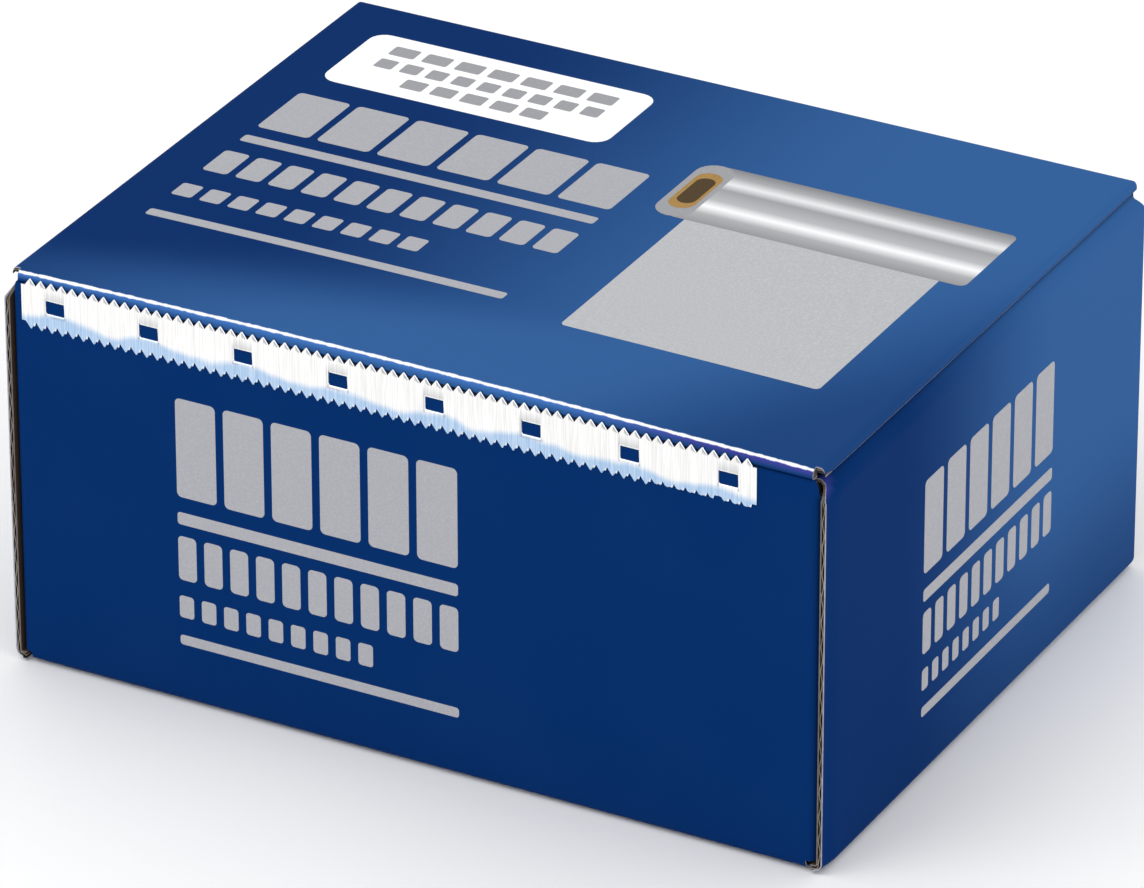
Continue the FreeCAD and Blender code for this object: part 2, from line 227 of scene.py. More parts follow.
# White-lined corrugated liner, offset printed. The ink is flat and even and hardly reflects,
# as the photographed print does not, and the flutes beneath show as a faint washboard.
def printedLiner(name, light):
    material, tree, shader = newMaterial(name, {
        "Roughness": ink["roughness"], "IOR": 1.5, "Specular IOR Level": ink["gloss"]})
    place = addNode(tree, "TexCoord")["Object"]
    x, y, z = addNode(tree, "SeparateXYZ", None, {0: place})
    # the ground runs from navy to a pale blue where light() paints light on the surface
    color = addNode(tree, "Mix", mixed, {0: light(tree, x, y, z), 6: linearColor(ink["navy"]),
                                         7: linearColor(ink["paintedLightBlue"])})[2]
    cloud = addNode(tree, "TexNoise", None, {"Vector": place, "Scale": 55.0, "Detail": 3.0})["Fac"]
    cloud = addNode(tree, "MapRange", smooth, {0: cloud, 1: 0.35, 2: 0.75, 4: 0.012})[0]
    color = addNode(tree, "Mix", mixed, {0: cloud, 6: color, 7: linearColor(ink["cloud"])})[2]

    # painted light and shade where the rounded folds turn: a lighter blue, and violet towards the right-hand end
    rightward = addNode(tree, "MapRange", smooth, {0: x, 1: 0.020, 2: 0.050})[0]
    foldShadingColor = addNode(tree, "Mix", mixed, {0: rightward, 6: linearColor(ink["litFoldBlue"]),
                                           7: linearColor(ink["foldShadingTint"])})[2]
    foldShadingTint = addNode(tree, "Attribute", {"attribute_name": "foldShadingTint"})["Fac"]
    color = addNode(tree, "Mix", mixed, {0: foldShadingTint, 6: color, 7: foldShadingColor})[2]

    # ink rubbed off down to the white liner, with specks about a millimetre wide; the white line on the front fold
    # is partly this wear and partly a painted highlight
    scuffAndHighlight = addNode(tree, "Attribute", {"attribute_name": "scuffAndHighlight"})["Fac"]
    speck = addNode(tree, "TexNoise", None, {"Vector": place, "Scale": 900.0, "Detail": 4.0})["Fac"]
    speck = addNode(tree, "MapRange", smooth, {0: speck, 1: 0.3, 2: 0.7, 3: -0.2, 4: 0.1})[0]
    worn = addNode(tree, "Math", plus, {0: scuffAndHighlight, 1: speck})[0]
    worn = addNode(tree, "MapRange", smooth, {0: worn, 1: 0.3, 2: 0.8})[0]
    color = addNode(tree, "Mix", mixed, {0: worn, 6: color, 7: linearColor(ink["scuffAndHighlight"])})[2]
    tree.links.new(color, shader.inputs["Base Color"])

    # washboard of the flutes and paper fibres, as height
    phase = addNode(tree, "Attribute", {"attribute_name": "flutePhase"})["Fac"]
    turned = addNode(tree, "Math", times, {0: phase, 1: 2 * math.pi})[0]
    wave = addNode(tree, "Math", sine, {0: turned})[0]
    fibre = addNode(tree, "TexNoise", None, {"Vector": place, "Scale": 2500.0, "Detail": 2.0})["Fac"]
    fibre = addNode(tree, "Math", times, {0: fibre, 1: 0.12})[0]
    height = addNode(tree, "Math", timesPlus, {0: wave, 1: 0.5, 2: fibre})[0]
    bump = addNode(tree, "Bump", None, {"Strength": 0.35, "Distance": 0.00003, "Height": height})
    tree.links.new(bump["Normal"], shader.inputs["Normal"])
    return material


# the lid's painted light: a pale field, standing in for light reflected by the varnish, from the front's
# middle to the back's right corner, the product of a rise from the left, a fall along a slanting line and a rise
# up the front fold
def lidLight(tree, x, y, z):
    spread = addNode(tree, "MapRange", smooth, {0: y, 1: -0.025, 2: -0.050, 4: 0.050})[0]
    left = addNode(tree, "Math", plus, {0: x, 1: spread})[0]
    left = addNode(tree, "MapRange", smooth, {0: left, 1: -0.040, 2: 0.035})[0]
    slant = addNode(tree, "Math", timesPlus, {0: y, 1: -0.518, 2: -0.032344})[0]
    slant = addNode(tree, "Math", timesPlus, {0: x, 1: 0.856, 2: slant})[0]
    right = addNode(tree, "MapRange", smooth, {0: slant, 1: 0.008, 2: 0.040, 3: 1.0, 4: 0.32})[0]
    top = addNode(tree, "MapRange", smooth, {0: z, 1: 0.0622, 2: 0.0632})[0]
    both = addNode(tree, "Math", times, {0: left, 1: right})[0]
    return addNode(tree, "Math", times, {0: both, 1: top})[0]


# the right side's painted light: pale towards the back and the top, navy elsewhere, the product of
# three rises
def trayLight(tree, x, y, z):
    side = addNode(tree, "MapRange", smooth, {0: x, 1: 0.0640, 2: 0.0655})[0]
    back = addNode(tree, "MapRange", smooth, {0: y, 1: -0.030, 2: 0.026})[0]
    up = addNode(tree, "MapRange", smooth, {0: z, 1: 0.000, 2: 0.030, 3: 0.45})[0]
    both = addNode(tree, "Math", times, {0: back, 1: up})[0]
    return addNode(tree, "Math", times, {0: both, 1: side})[0]


paper = {
    "edge": "#a9abb8",
    "fluting": "#8f8678",
    "kraft": "#b08f66",
    "kraftDark": "#8d6c45",
    "kraftEdge": "#77716d",
    "inside": "#33271c",        # the flutes' hollows, where little light gets in
}


# Uncoated paper: kraft from long fibres, or the clay-white cut edge. It is matt, with
# darker and lighter fibres a few tenths of a millimetre wide.
def plainPaper(name, color, dark, amount, hollowShade=None):
    material, tree, shader = newMaterial(name, {"Roughness": 0.86, "IOR": 1.45})
    place = addNode(tree, "TexCoord")["Object"]
    fibre = addNode(tree, "TexNoise", None, {"Vector": place, "Scale": 1400.0, "Detail": 5.0,
                                             "Roughness": 0.7})["Fac"]
    cloud = addNode(tree, "TexNoise", None, {"Vector": place, "Scale": 90.0, "Detail": 3.0})["Fac"]
    share = addNode(tree, "Math", plus, {0: fibre, 1: cloud})[0]
    share = addNode(tree, "Math", times, {0: share, 1: 0.5})[0]
    share = addNode(tree, "MapRange", smooth, {0: share, 1: 0.38, 2: 0.62, 4: amount})[0]
    shade = addNode(tree, "Mix", mixed, {0: share, 6: linearColor(color), 7: linearColor(dark)})[2]
    if hollowShade:              # painted shade: the kraft darkens in the narrow hollow beside the side walls
        x = addNode(tree, "SeparateXYZ", None, {0: place})["X"]
        beside = addNode(tree, "Math", magnitude, {0: x})[0]
        beside = addNode(tree, "MapRange", smooth, {0: beside, 1: 0.0628, 2: 0.0642})[0]
        shade = addNode(tree, "Mix", mixed, {0: beside, 6: shade, 7: linearColor(hollowShade)})[2]
    tree.links.new(shade, shader.inputs["Base Color"])
    bump = addNode(tree, "Bump", None, {"Strength": 0.5, "Distance": 0.00004, "Height": fibre})
    tree.links.new(bump["Normal"], shader.inputs["Normal"])
    return material


# in the order that addBoard's layers pick them
papers = [plainPaper("clayWhiteLinerEdge", paper["edge"], "#6f6c72", 0.6),
          plainPaper("recycledFluting", paper["fluting"], "#4c3c2b", 0.7),
          # the kraft liner's last colour is painted shade in the hollow beside the side walls
          plainPaper("kraftLiner", paper["kraft"], paper["kraftDark"], 0.4, "#3b2d20"),
          plainPaper("greyKraftEdge", paper["kraftEdge"], "#4a423c", 0.6),
          plainPaper("shadedFluteHollow", paper["inside"], "#17110c", 0.7)]
trayBoard = [printedLiner("varnishedPrintTray", trayLight)] + papers
lidBoard = [printedLiner("varnishedPrintLid", lidLight), *papers[:2],
            plainPaper("kraftLinerLid", paper["kraft"], paper["kraftDark"], 0.4),
            plainPaper("inkedKraftEdge", "#2f3340", "#1e1b1c", 0.6), papers[4]]
print("board papers made")


# side walls: one board from the left inner wall's tabs over the left roll, down and under
# the bottom to the right inner wall's tabs
sides = {
    "leanRadius": 4.0,
    "leanAngle": 50.0,
    "leanStart": 59.07,
    "rollRadius": 1.778,
    "rollMiddle": 60.772,       # height of the tight roll's centre
    "setback": 1.95,            # the roll starts this far behind the front
    "tabs": (14.0, 30.0),       # the locking tabs, from the middle of the wall
    "slot": (13.8, 30.2),
    "slotSide": (61.95, 63.70),
    "tabEnd": 0.2,
    "foot": 1.5,
    "crush": 0.35,              # rounding of the back upright edges
    "crushWidth": 0.8,
    "pressed": 0.45,            # the die presses the raw front ends thinner
    "rollPressed": 0.35,
    "pressedOutside": 0.85,     # share of it that comes off the outer face
    "pressedLength": 4.0,
}


def addSides():
    c, s = carton, sides
    fold = c["fold"] * math.pi / 2
    lean = s["leanRadius"] * math.radians(s["leanAngle"])
    roll = s["rollRadius"] * math.radians(180 - s["leanAngle"])
    inner = s["rollMiddle"] - s["tabEnd"]
    upright = s["leanStart"] - c["fold"]
    bottomHalf = c["halfWidth"] - c["fold"]
    half = [(bottomHalf, 0), (fold, 90), (upright, 0), (lean, s["leanAngle"]),
            (roll, 180 - s["leanAngle"]), (inner, 0)]
    foot = c["halfWidth"] - s["leanRadius"] * (1 - math.cos(math.radians(s["leanAngle"]))) \
        - s["rollRadius"] * (1 + math.cos(math.radians(s["leanAngle"])))
    path = foldedPath((-foot, s["tabEnd"]), 90, half[:0:-1] + [(2 * bottomHalf, 0)] + half[1:])
    middle = path["distance"][-1] / 2
    wallEnd = bottomHalf + fold + upright
    footLine = middle - (s["foot"] - s["tabEnd"])

    # outer point: the path's point at u, carried to depth v; the front end steps back on the roll
    def shape(u, v):
        away = np.abs(u - middle)
        x, z, nx, nz = alongPath(path, u)
        short = np.where(away < bottomHalf - 0.5, c["fold"],
                         s["setback"] * np.clip((away - wallEnd - 0.5) / 2.33, 0, 1))
        end = c["halfDepth"] - short
        y = np.clip(v, -end, end)
        q = np.clip((y - c["halfDepth"] + s["crushWidth"]) / s["crushWidth"], 0, 1)
        outside = (away > bottomHalf - 1) & (away < wallEnd + lean)
        drop = np.where(outside, s["crush"] * (1 - np.sqrt(1 - q * q)), 0)
        outward = np.stack([nx, 0 * nx, nz], -1)
        points = np.stack([x, y, z], -1) - drop[..., None] * outward
        pressed = s["pressed"] + s["rollPressed"] * smoothRise(away, wallEnd, wallEnd + 1.5)
        rawEnd = smoothRise(-y, end - s["pressedLength"], end) * pressed * (away > bottomHalf)
        points = points - rawEnd[..., None] * s["pressedOutside"] * outward
        # the fold tint, painted light and shade, on the roll's shoulder near the front; the same tint also runs
        # along the rounded back edges
        foldShadingTint = 0.5 * smoothRise(away, wallEnd + 0.2, wallEnd + 2) * smoothRise(-y, end - 1.8, end - 0.6)
        foldShadingTint = np.where(away < wallEnd + lean + roll, foldShadingTint + 0.45 * q * outside, 0)
        return points, outward, c["board"] - drop - rawEnd, u - middle, 0 * u, foldShadingTint

    # kept: all but the slots in the bottom, and past the foot line only the locking tabs
    def keep(u, v):
        away, side = np.abs(u - middle), np.abs(v)
        slot = (away > s["slotSide"][0]) & (away < s["slotSide"][1])
        slot &= (side > s["slot"][0]) & (side < s["slot"][1])
        tab = (side > s["tabs"][0]) & (side < s["tabs"][1])
        return ~slot & ((away < footLine) | tab)

    extra = np.array([*s["slotSide"], bottomHalf - 0.51, bottomHalf - 0.49, wallEnd + 0.5,
                      wallEnd + 2.83, footLine, *np.linspace(0, bottomHalf - 1, 9),
                      *np.linspace(bottomHalf + fold, wallEnd, 8)])
    u = np.unique(np.round(np.concatenate([path["distance"], middle + extra, middle - extra]), 5))
    end = c["halfDepth"]
    steps = np.array([end, end - c["fold"], end - s["setback"], *s["slot"], *s["tabs"], 40, 22, 7])
    rounding = end - s["crushWidth"] * (1 - np.sin(np.radians([0, 18, 36, 54, 72])))
    pressed = -end + s["pressedLength"] * np.array([0.25, 0.5, 0.75, 1])
    v = np.unique(np.round(np.concatenate([steps, -steps, [0], rounding, pressed]), 5))
    return addBoard("tray_bottom_and_sides", "tray", shape, keep, [u, v], 0, trayBoard)


# front or back wall with its bottom fold and its two ears
walls = {
    "panelHalf": 65.0,
    "earFold": 1.5,
    "earEnd": 30.0,         # from the carton's front
    "earTop": 58.92,
    "relief": (64.5, 64.97),    # the wall's top corners slant down between these
    "frontTop": 62.24,
    "backTop": 62.55,
    "edgeDrop": 0.6,        # the cut edges are pressed round from outside
    "edgeShare": 0.008,     # over this share of the wall's height
}


def addWall(name, side, top):
    c, w = carton, walls
    ear = w["earEnd"] - w["earFold"]
    corner = w["earFold"] * math.pi / 2
    flat = w["panelHalf"] - w["earFold"]
    path = foldedPath((-w["panelHalf"], -c["halfDepth"] + w["earEnd"]), 270,
                      [(ear, 0), (corner, 90), (2 * flat, 0), (corner, 90), (ear, 0)])

    # outer point: the plan path's point at u; v from 0 to 1 is the quarter turn of the bottom
    # fold, and from 1 to 2 the height up to the top, which is lower on the ears
    def shape(u, v):
        x, y, nx, ny = alongPath(path, u)
        turn = np.clip(v, 0, 1) * math.pi / 2
        highest = np.interp(np.abs(x), w["relief"], (top, w["earTop"]))
        inward = c["fold"] * (1 - np.sin(turn))
        z = c["fold"] * (1 - np.cos(turn)) + np.clip(v - 1, 0, 1) * (highest - c["fold"])
        outward = np.stack([nx * np.sin(turn), side * -ny * np.sin(turn), -np.cos(turn)], -1)
        q = np.clip((v - 2 + w["edgeShare"]) / w["edgeShare"], 0, 1)
        drop = w["edgeDrop"] * (1 - np.sqrt(1 - q * q))
        points = np.stack([x - inward * nx, side * -(y - inward * ny), z], -1) - drop[..., None] * outward
        return points, outward, c["board"] - drop, u, 0 * u, 0 * u

    # kept: everything above the bottom fold, and the fold itself between the ears
    def keep(u, v):
        x = alongPath(path, u)[0]
        return (v > 1) | (np.abs(x) < flat)

    middle = path["distance"][-1] / 2
    u = np.unique(np.round(np.concatenate([path["distance"], middle + np.linspace(-flat, flat, 17)]), 5))
    edge = 2 - w["edgeShare"] * (1 - np.sin(np.radians([0, 25, 50, 75, 90])))
    v = np.unique(np.round(np.concatenate([np.linspace(0, 1, 6), [1.25, 1.5, 1.75], edge]), 6))
    return addBoard(name, "tray", shape, keep, [u, v], 0, trayBoard)


# lid: a panel from the crease on the back wall, a doubled front fold and a tuck flap
lid = {
    "half": 65.3,
    "edgeRadius": 0.7,          # the printed liner is crushed down over the side edges
    "edgeDrop": 1.28,
    "noseHalf": 63.85,
    "flapHalf": 61.65,
    "flapCorner": 7.0,
    "flapLean": 5.7,            # degrees
    "flapLength": 19.45,
    "crown": 0.75,              # the front edge bows up by this much in its middle
    "crownBack": 0.1,           # share of it that is left at the back
    "thickness": [(0, 1.35), (99.5, 1.35), (101.5, 0.85), (103.7, 0.8), (104.02, 0.33), (104.6, 0.33),
                  (104.9, 0.75), (105.57, 0.8), (106.0, 1.1), (106.6, 1.35)],
}


# height that the bowed lid adds: a parabola across, growing by a square from back to front
def lidRise(x, y):
    across = 1 - (x / lid["half"]) ** 2
    front = np.clip((carton["halfDepth"] - y) / (2 * carton["halfDepth"]), 0, 1)
    return lid["crown"] * across * (lid["crownBack"] + (1 - lid["crownBack"]) * front ** 2)


def addLid():
    c, s = carton, lid
    quarter = math.pi / 2
    turn = 90 - s["flapLean"]
    path = foldedPath((c["halfDepth"], c["height"] - c["board"]), 90, [
        (1.35 * quarter, 90), (99.95, 0), (1.05 * quarter, 90), (0.3, 0), (0.35 * quarter, 90),
        (1.0, 0), (0.3 * math.radians(turn), -turn), (s["flapLength"], 0)])
    panelEnd = 1.35 * quarter + 99.95
    flapStart = panelEnd + 1.4 * quarter + 1.3
    end = path["distance"][-1]

    # outer point: the side view's path at u, carried across to v, and raised by the crown;
    # the flap's lower corners draw in by a quarter circle, and the panel's sides round down
    def shape(u, v):
        y, z, ny, nz = alongPath(path, u)
        left = np.clip(s["flapCorner"] - (end - u), 0, s["flapCorner"])
        half = s["flapHalf"] - s["flapCorner"] + np.sqrt(s["flapCorner"] ** 2 - left ** 2)
        x = v * np.where(u > flapStart, half / s["flapHalf"], 1)
        q = np.clip((np.abs(v) - s["half"] + s["edgeRadius"]) / s["edgeRadius"], 0, 1)
        drop = np.where(u < panelEnd + 0.01, s["edgeDrop"] * (1 - np.sqrt(1 - q * q)), 0)
        outward = np.stack([0 * ny, ny, nz], -1)
        rise = lidRise(x, y) * (1 - smoothRise(u, panelEnd + 1.0, flapStart))
        points = np.stack([x, y, z + rise], -1) - drop[..., None] * outward
        thick = np.interp(u, *np.array(s["thickness"]).T) - drop
        # the white line on the front fold: worn ink, and a painted highlight along the fold's top
        scuffAndHighlight = np.exp(-((u - panelEnd - 0.75) / 0.3) ** 2)
        # a band of painted light on the curve of the front fold, under its white line
        foldShadingTint = smoothRise(u, panelEnd + 0.8, panelEnd + 1.0)
        foldShadingTint = foldShadingTint * (1 - smoothRise(u, panelEnd + 0.95, panelEnd + 1.95))
        return points, outward, thick, x, scuffAndHighlight, foldShadingTint

    # kept: the panel at its full width, the front fold narrower, and the flap narrower still
    def keep(u, v):
        folded = np.where(u < flapStart, s["noseHalf"], s["flapHalf"])
        return np.abs(v) < np.where(u < panelEnd, s["half"], folded)

    corner = end - s["flapCorner"] * np.cos(np.radians([0, 15, 30, 45, 60, 70, 80, 87]))
    front = panelEnd + np.array([-2.5, -1.2, -0.4, 1.8])
    u = np.unique(np.round(np.concatenate([
        path["distance"], np.linspace(2.2, panelEnd, 18), corner, front]), 5))
    edge = s["half"] - s["edgeRadius"] * (1 - np.sin(np.radians([0, 20, 40, 60, 75, 90])))
    v = np.unique(np.round(np.concatenate([np.linspace(-s["flapHalf"], s["flapHalf"], 27), edge, -edge,
                                           [s["noseHalf"], -s["noseHalf"]]]), 5))
    return addBoard("lid_board", "lid", shape, keep, [u, v], 1, lidBoard)


trayPieces = [addSides(), addWall("tray_front_wall", -1, walls["frontTop"]),
              addWall("tray_back_wall", 1, walls["backTop"])]
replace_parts(trayPieces[0], "carton_tray")
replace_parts(addLid(), "carton_lid")
print("board folded")


# bare steel strip: openings from its left end, teeth from tip to tip
strip = {
    "start": -63.1,
    "length": 118.5,
    "bottom": 55.4,
    "top": 63.4,
    "front": -51.5,
    "back": -51.28,
    "pitch": 1.75,
    "depth": 1.1,
    "flat": 0.12,           # flat left on a tooth's tip
    "worn": 9,              # blunted lower teeth at the right-hand end
    "wornShare": 0.6,
    "nick": 6.0,            # a bent lower tooth, from the strip's right end
    "firstOpening": 5.6,
    "openingStep": 15.5,
    "opening": (3.0, 58.3, 60.5),
    "bevel": 0.09,          # the punch rounds the right flank of each tooth
    "burr": 0.34,           # and leaves a lobe near the root, as a share of the depth
    "corner": 0.35,         # rounding of the openings' lower corners
    "lip": 0.16,            # how far the openings' left and lower edges are drawn in
    "thick": 0.14,          # least thickness where an edge is drawn in
    "white": ("#ebeae8", "#ffffff"),
    # the pale blue is a painted reflection on the strip's lower part
    "blue": ("#9fbfe2", "#c3d7ee"),
    # a painted highlight, white, and painted shade, grey, each laid on by a mask
    "paintedHighlight": "#ffffff",
    "paintedShade": "#7c8088",
}


# Tinned steel strip, cold rolled, then brushed across. Bright and nearly white, with fine
# upright scratches; its lower part is a painted reflection, a pale blue that rises under the openings, and painted
# highlights and painted shade lines mark its bevels and openings.
def brushedTinplate():
    material, tree, shader = newMaterial("brushedTinplate", {"Metallic": 1.0, "Roughness": 0.34})
    place = addNode(tree, "TexCoord")["Object"]
    grain = addNode(tree, "Mapping", None, {"Vector": place, "Scale": (7000, 300, 160)})[0]
    scratch = addNode(tree, "TexNoise", None, {"Vector": grain, "Scale": 1.0, "Detail": 3.0})["Fac"]
    swell = addNode(tree, "Mapping", None, {"Vector": place, "Scale": (110, 1, 60)})[0]
    swell = addNode(tree, "TexNoise", None, {"Vector": swell, "Scale": 1.0, "Detail": 2.0})["Fac"]
    swell = addNode(tree, "Math", times, {0: swell, 1: 0.0036})[0]
    x, _, z = addNode(tree, "SeparateXYZ", None, {0: place})

    # level: the height, less a cosine with the openings' spacing, plus the swell
    perMetre = 2000 * math.pi / strip["openingStep"]
    start = (strip["start"] + strip["firstOpening"]) / 1000
    turns = addNode(tree, "Math", timesPlus, {0: x, 1: perMetre, 2: -start * perMetre})[0]
    wave = addNode(tree, "Math", cosine, {0: turns})[0]
    level = addNode(tree, "Math", timesPlus, {0: wave, 1: -0.0005, 2: z})[0]
    level = addNode(tree, "Math", plus, {0: level, 1: swell})[0]
    # the lower part takes the pale blue of a painted reflection
    low = addNode(tree, "MapRange", smooth, {0: level, 1: 0.0588, 2: 0.0602, 3: 1.0, 4: 0.0})[0]
    share = addNode(tree, "MapRange", smooth, {0: scratch, 1: 0.3, 2: 0.7})[0]
    blue, white = (addNode(tree, "Mix", mixed, {0: share, 6: linearColor(dark), 7: linearColor(pale)})[2]
                   for dark, pale in (strip["blue"], strip["white"]))
    color = addNode(tree, "Mix", mixed, {0: low, 6: white, 7: blue})[2]
    # painted highlights and painted shade lines from the strip's two masks
    for paintedShading in ("paintedHighlight", "paintedShade"):
        amount = addNode(tree, "Attribute", {"attribute_name": paintedShading})["Fac"]
        color = addNode(tree, "Mix", mixed, {0: amount, 6: color, 7: linearColor(strip[paintedShading])})[2]
    tree.links.new(color, shader.inputs["Base Color"])
    bump = addNode(tree, "Bump", None, {"Strength": 0.3, "Distance": 0.00001, "Height": scratch})
    tree.links.new(bump["Normal"], shader.inputs["Normal"])
    return material


tinplate = brushedTinplate()


# a grid with lines at the teeth and the openings, whose cells are left out, and eight tabs
def addStrip():
    s = strip
    teeth = int((s["length"] - s["pitch"] / 2) / s["pitch"])
    first = s["start"] + (s["length"] - teeth * s["pitch"]) / 2
    last = first + teeth * s["pitch"]
    flat = s["flat"] / 2 / s["pitch"]
    phases = np.array([0, 0.24, 0.5 - flat, 0.5 + flat, 0.64, 0.74, 0.82, 0.9, 0.96])
    toothLines = (first + (np.arange(teeth)[:, None] + phases) * s["pitch"]).ravel()
    opening = s["start"] + s["firstOpening"] + s["openingStep"] * np.arange(8)
    half, corner = s["opening"][0] / 2, s["corner"]
    nearLines = np.array([-half - 0.5, -half - 0.2, -half, -half + 0.1, -half + corner,
                          half - corner, half - 0.1, half, half + 0.2])
    x = np.concatenate([toothLines, (opening[:, None] + nearLines).ravel(),
                        [s["start"], last, s["start"] + s["length"]]])
    x = np.unique(np.round(x, 4))
    x = x[np.concatenate([[True], np.diff(x) > 0.004])]
    roots = s["bottom"] + s["depth"], s["top"] - s["depth"]
    low, high = s["opening"][1:]

    # signed distance from the nearest opening's middle
    def fromOpening(u):
        index = np.clip(np.round((u - opening[0]) / s["openingStep"]), 0, 7)
        return u - opening[0] - s["openingStep"] * index

    # rows from the lower teeth's edge up to the upper ones'. A tooth's height over its root is
    # a triangle wave with a flat tip; below, a bell-shaped burr is added to its right flank
    def shape(u, v):
        count = (u - first) / s["pitch"]
        phase = count - np.floor(count)
        inside = (u >= first) & (u < last - 0.001)
        ramp = np.where(inside, 1 - np.abs(2 * phase - 1), 0)
        tooth = np.minimum(ramp / (1 - 2 * flat), 1) * s["depth"]
        right = inside & (phase > 0.52)
        bell = np.exp(-((ramp - 0.28) / 0.15) ** 2) * right
        lower = np.where(count > teeth - s["worn"], np.minimum(tooth, s["depth"] * s["wornShare"]), tooth)
        lower = lower + s["burr"] * s["depth"] * bell
        bent = np.abs(u - (s["start"] + s["length"] - s["nick"])) < 0.6
        lower = np.where(bent, lower * 0.25, lower)
        near = fromOpening(u)
        beside = np.abs(near) < half + 0.25
        rounded = np.clip((np.abs(near) - half + corner) / corner, 0, 1)
        bottom = low + np.where(beside, corner * (1 - np.sqrt(1 - rounded ** 2)), 0)
        rows = np.stack([
            roots[0] - lower, roots[0] - np.maximum(lower - 0.12, 0.4 * lower),
            roots[0] - np.maximum(lower - 0.25, 0.15 * lower), roots[0] + 0 * u, low - 0.55 + 0 * u,
            low - 0.22 + 0 * u, bottom, high + 0 * u, high + 0.25 + 0 * u, roots[1] + 0 * u,
            roots[1] + np.maximum(tooth - 0.31, 0.1 * tooth), roots[1] + np.maximum(tooth - 0.21, 0.2 * tooth),
            roots[1] + np.maximum(tooth - 0.11, 0.4 * tooth), roots[1] + tooth])
        z = np.take_along_axis(rows, v.astype(int)[None], 0)[0]
        atEdge = (v == 13) | (v == 0)
        leftEdge = (np.abs(near + half) < 0.02) & (v >= 6) & (v <= 7)
        lip = ((v == 6) & (np.abs(near) < half + 0.01)) | leftEdge
        back = np.where(right & atEdge, s["bevel"], 0) + np.where(lip, s["lip"], 0)
        # painted shade: grey lines along the right flanks' bevels and round the openings' rims
        paintedShade = np.where(right & (phase < 0.9) & ((v == 11) | (v == 10)), 0.75, 0)
        paintedShade = np.where((v == 5) & (np.abs(near) < half + 0.21), 0.5, paintedShade)
        paintedShade = np.where((v == 8) & (np.abs(near) < half + 0.01), 0.35, paintedShade)
        paintedShade = np.where((np.abs(near + half + 0.2) < 0.02) & (v >= 5) & (v <= 8), 0.5, paintedShade)
        # painted highlight: white on the openings' drawn-in lips, the upper right flanks and the lower burrs
        paintedHighlight = np.where(lip | (right & (v >= 12)), 1, np.where(v <= 2, bell, 0))
        ripple = 0.015 * np.sin(2 * np.pi * u / 23) + 0.01 * np.sin(2 * np.pi * u / 9 + 1)
        front = np.stack([u, s["front"] + back + ripple + 0.026, z], -1)
        rear = np.stack([u, np.maximum(s["back"], s["front"] + back + s["thick"]), z], -1)
        return front, rear, paintedShade, paintedHighlight

    u, v = np.meshgrid(x, np.arange(14), indexing="ij")
    front, rear, paintedShade, paintedHighlight = shape(u, v)
    middle = fromOpening((u[1:, 1:] + u[:-1, 1:]) / 2)
    row = (v[1:, 1:] + v[:-1, :-1]) / 2
    kept = ~((np.abs(middle) < half) & (row > 6) & (row < 7))
    points, faces, _ = closedSheet(front, rear, kept)

    # the tabs: one bent strap, from the strip's face through the wall and down behind it
    path = foldedPath((-49.48, 57.55), 90, [(0.45, 0), (0.4 * math.pi / 2, 90), (1.28, 0),
                                            (0.32 * math.pi / 2, 90), (0.35, 0)])
    py, pz, ny, nz = alongPath(path, path["distance"])
    across = np.array([-half, half])
    outer = np.stack(np.broadcast_arrays(across[None, :], py[:, None], pz[:, None]), -1)
    outward = np.stack(np.broadcast_arrays(0 * across[None, :], ny[:, None], nz[:, None]), -1)
    tab, tabFaces, _ = closedSheet(outer, outer - 0.2 * outward, np.ones((len(py) - 1, 1), bool))
    tabs = (tab[None] + opening[:, None, None] * np.array([1, 0, 0])).reshape(-1, 3)
    tabFaces = (tabFaces[None] + len(tab) * np.arange(8)[:, None, None]).reshape(-1, 4) + len(points)
    faces = np.concatenate([faces, tabFaces])
    values = {"paintedShade": np.concatenate([np.tile(paintedShade.ravel(), 2), np.zeros(len(tabs))]),
              "paintedHighlight": np.concatenate([np.tile(paintedHighlight.ravel(), 2), np.zeros(len(tabs))])}
    return addPiece("toothed_strip", "tray", np.concatenate([points, tabs]), faces,
                    np.zeros(len(faces)), [tinplate], values, sharp=25)


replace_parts(addStrip(), "cutter_strip")
print("toothed strip punched")


# rolls of foil on card cores, lying across the carton
rolls = {
    "height": 25.4005,
    "rear": 25.5993,
    "front": -22.7023,
    "radius": 23.98,
    "inner": 15.62,
    "halfWidth": 60.0,
    "coreHalf": 60.75,
    "coreRadii": (14.0, 15.55),
    "turns": 9,             # ridges that show on an end, in place of 400 turns
    "tail": 0.09,           # the loose end of the foil stands up by this much
}


